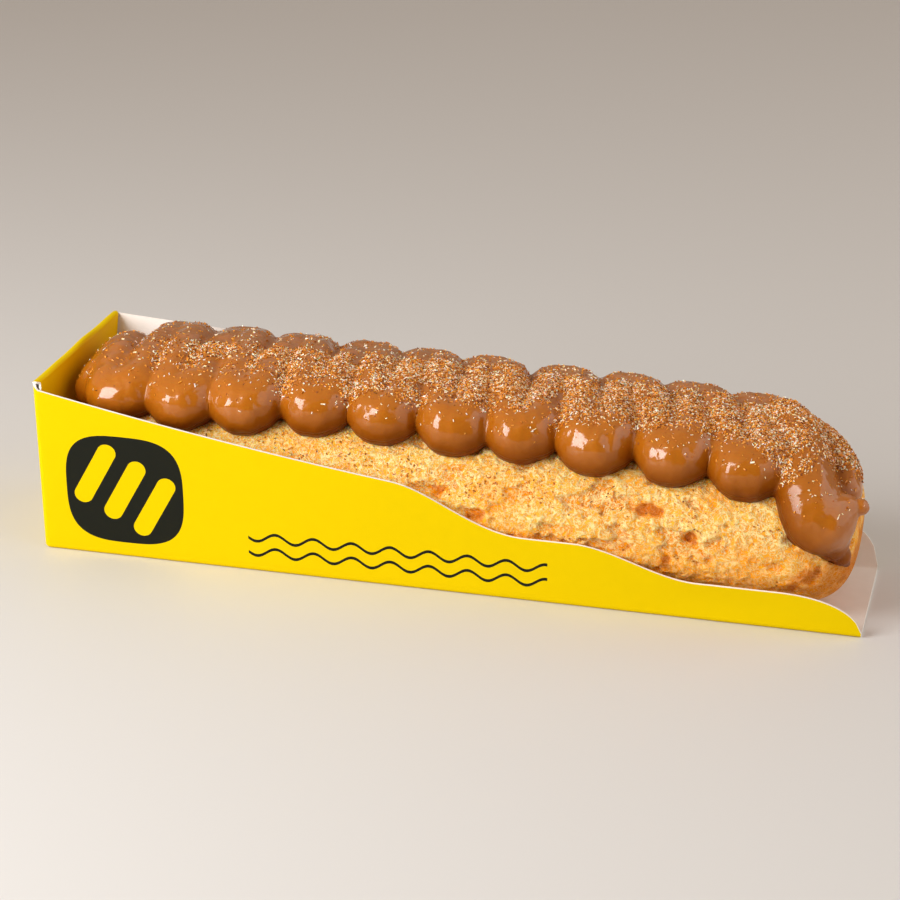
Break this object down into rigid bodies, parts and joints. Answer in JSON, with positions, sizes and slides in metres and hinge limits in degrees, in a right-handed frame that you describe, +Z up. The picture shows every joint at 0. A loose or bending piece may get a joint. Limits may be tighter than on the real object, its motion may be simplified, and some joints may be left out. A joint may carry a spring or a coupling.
{
  "type": "churro eclair",
  "caption": "Soft pastry baton with caramel piped to and fro along its top and dusted with cinnamon sugar, lying in an open folded card case with a wavy cut front.",
  "frame": {"origin": "middle of the case's flat underside", "axes": "+X along the baton from the case's closed end to its open end, +Z up, -Y out of the printed front wall"},
  "size_m": [0.18, 0.0558, 0.0458],
  "materials": {
    "card": "yellow printed and coated outside, bare white inside and on its cut edges",
    "crust": "golden baked crust, porous and dry, with browner torn pits",
    "caramel": "glossy milk caramel under white and brown cinnamon sugar"
  },
  "bodies": {
    "root": {"card_case": "card", "baton": "crust", "piped_caramel": "caramel"}
  },
  "joints": []
}
